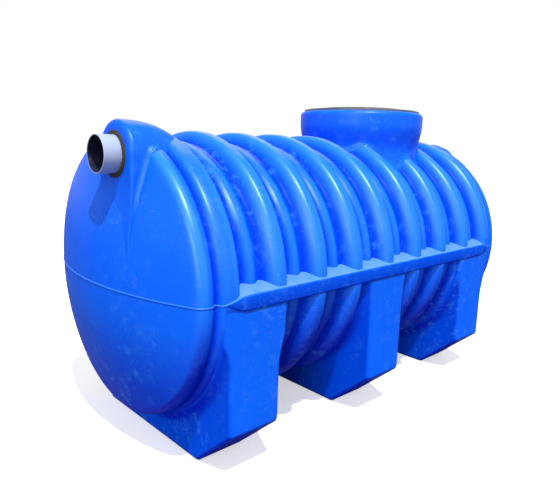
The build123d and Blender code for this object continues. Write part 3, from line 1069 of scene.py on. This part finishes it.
def floor_material():
    """Pale floor that keeps the shadow and shows nearly white to the camera.

    To other rays it is darker and doesn't glow, so that it throws little light back on the tank.
    """
    material, tree, shader, place = new_material("pale_floor")
    if not tree:
        return material
    c = colours()
    rays = tree.nodes.new("ShaderNodeLightPath")
    seen = rays.outputs["Is Camera Ray"]
    mottle = noise(tree, place, 2.0, 4.0)
    plain = mixed(tree, span(tree, mottle, 0.3, 0.7, 0.0, 0.04), tuple(c.floor), tuple(c.dust))
    dark = tuple(value * FLOOR_THROW for value in c.floor)
    tree.links.new(mixed(tree, seen, dark, plain), shader.inputs["Base Color"])
    shader.inputs["Roughness"].default_value = 0.95
    shader.inputs["Specular IOR Level"].default_value = 0.0
    shader.inputs["Emission Color"].default_value = (1.0, 1.0, 1.0, 1.0)
    tree.links.new(product(tree, seen, FLOOR_GLOW), shader.inputs["Emission Strength"])
    return material


def camera():
    """Camera turned from its yaw off +Y, its pitch below level and its roll."""
    yaw, pitch, roll = (math.radians(value) for value in (CAMERA_YAW, CAMERA_PITCH, CAMERA_ROLL))
    ahead = np.array([math.sin(yaw) * math.cos(pitch), math.cos(yaw) * math.cos(pitch), -math.sin(pitch)])
    level = np.array([math.cos(yaw), -math.sin(yaw), 0.0])
    upright = np.cross(level, ahead)
    right = math.cos(roll) * level + math.sin(roll) * upright
    up = -math.sin(roll) * level + math.cos(roll) * upright
    data = bpy.data.cameras.new("view")
    data.sensor_width = SENSOR
    data.lens = CAMERA_LENS
    data.clip_start = 0.01
    data.clip_end = 100.0
    eye = bpy.data.objects.new("view", data)
    bpy.context.scene.collection.objects.link(eye)
    turn = Matrix((right, up, -ahead)).transposed().to_4x4()
    eye.matrix_world = Matrix.Translation(CAMERA_PLACE) @ turn
    bpy.context.scene.camera = eye


def sun(name, travel, strength, angle):
    """Sun lamp that shines along one direction."""
    data = bpy.data.lights.new(name, "SUN")
    data.energy = strength
    data.angle = math.radians(angle)
    lamp = bpy.data.objects.new(name, data)
    bpy.context.scene.collection.objects.link(lamp)
    back = -np.array(travel) / np.linalg.norm(travel)
    side = np.cross((0.0, 0.0, 1.0), back)
    side /= np.linalg.norm(side)
    turn = Matrix((side, np.cross(back, side), back)).transposed().to_4x4()
    lamp.matrix_world = Matrix.Translation(-LAMP_DISTANCE * np.array(travel)) @ turn


class TANK_OT_stage(bpy.types.Operator):
    """Pale floor, light and camera"""

    bl_idname = "tank.stage"
    bl_label = "Stage"

    def execute(self, context):
        scene = bpy.context.scene
        ends = (-FLOOR_REACH, FLOOR_REACH)
        mesh = bpy.data.meshes.new("floor")
        mesh.from_pydata([(x, y, -FLOOR_DROP) for y in ends for x in ends], [], [(0, 1, 3, 2)])
        floor = bpy.data.objects.new("floor", mesh)
        scene.collection.objects.link(floor)
        floor.data.materials.append(floor_material())
        world = bpy.data.worlds.new("studio")
        scene.world = world
        world.use_nodes = True
        tree = world.node_tree
        background = tree.nodes["Background"]
        background.inputs["Color"].default_value = (1.0, 1.0, 1.0, 1.0)
        rays = tree.nodes.new("ShaderNodeLightPath")
        shown = rays.outputs["Is Camera Ray"]
        for ray in ("Is Glossy Ray", "Is Transmission Ray"):
            either = tree.nodes.new("ShaderNodeMath")
            either.operation = "MAXIMUM"
            tree.links.new(shown, either.inputs[0])
            tree.links.new(rays.outputs[ray], either.inputs[1])
            shown = either.outputs["Value"]
        tree.links.new(span(tree, shown, 0.0, 1.0, SKY_LIGHT, 1.0), background.inputs["Strength"])
        sun("key", *KEY_SUN)
        sun("fill", *FILL_SUN)
        camera()
        scene.view_settings.view_transform = "Standard"
        return {"FINISHED"}


class TANK_PT_panel(bpy.types.Panel):
    """Sidebar panel that lists the tank's pieces, sizes and colours"""

    bl_label = "Tank"
    bl_idname = "TANK_PT_panel"
    bl_space_type = "VIEW_3D"
    bl_region_type = "UI"
    bl_category = "Tank"

    def draw(self, context):
        for operator in PIECES:
            self.layout.operator(operator.bl_idname)
        for group in (context.scene.tank_sizes, context.scene.tank_colours):
            column = self.layout.column()
            for name in group.bl_rna.properties.keys():
                if name not in ("rna_type", "name"):
                    column.prop(group, name)


PIECES = (
    TANK_OT_skin,
    TANK_OT_seams,
    TANK_OT_ledges,
    TANK_OT_feet,
    TANK_OT_hoods,
    TANK_OT_pipes,
    TANK_OT_manhole,
    TANK_OT_stage,
)
CLASSES = (TankSizes, TankColours) + PIECES + (TANK_PT_panel,)


def register():
    """Register the classes and hang the settings on the scene."""
    for item in CLASSES:
        bpy.utils.register_class(item)
    bpy.types.Scene.tank_sizes = bpy.props.PointerProperty(type=TankSizes)
    bpy.types.Scene.tank_colours = bpy.props.PointerProperty(type=TankColours)


def unregister():
    """Undo register."""
    del bpy.types.Scene.tank_colours
    del bpy.types.Scene.tank_sizes
    for item in reversed(CLASSES):
        bpy.utils.unregister_class(item)


def main():
    """Build every piece in order."""
    register()
    bpy.ops.tank.skin()
    bpy.ops.tank.seams()
    bpy.ops.tank.ledges()
    bpy.ops.tank.feet()
    bpy.ops.tank.hoods()
    bpy.ops.tank.pipes()
    bpy.ops.tank.manhole()
    bpy.ops.tank.stage()
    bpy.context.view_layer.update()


if __name__ == "__main__":
    main()
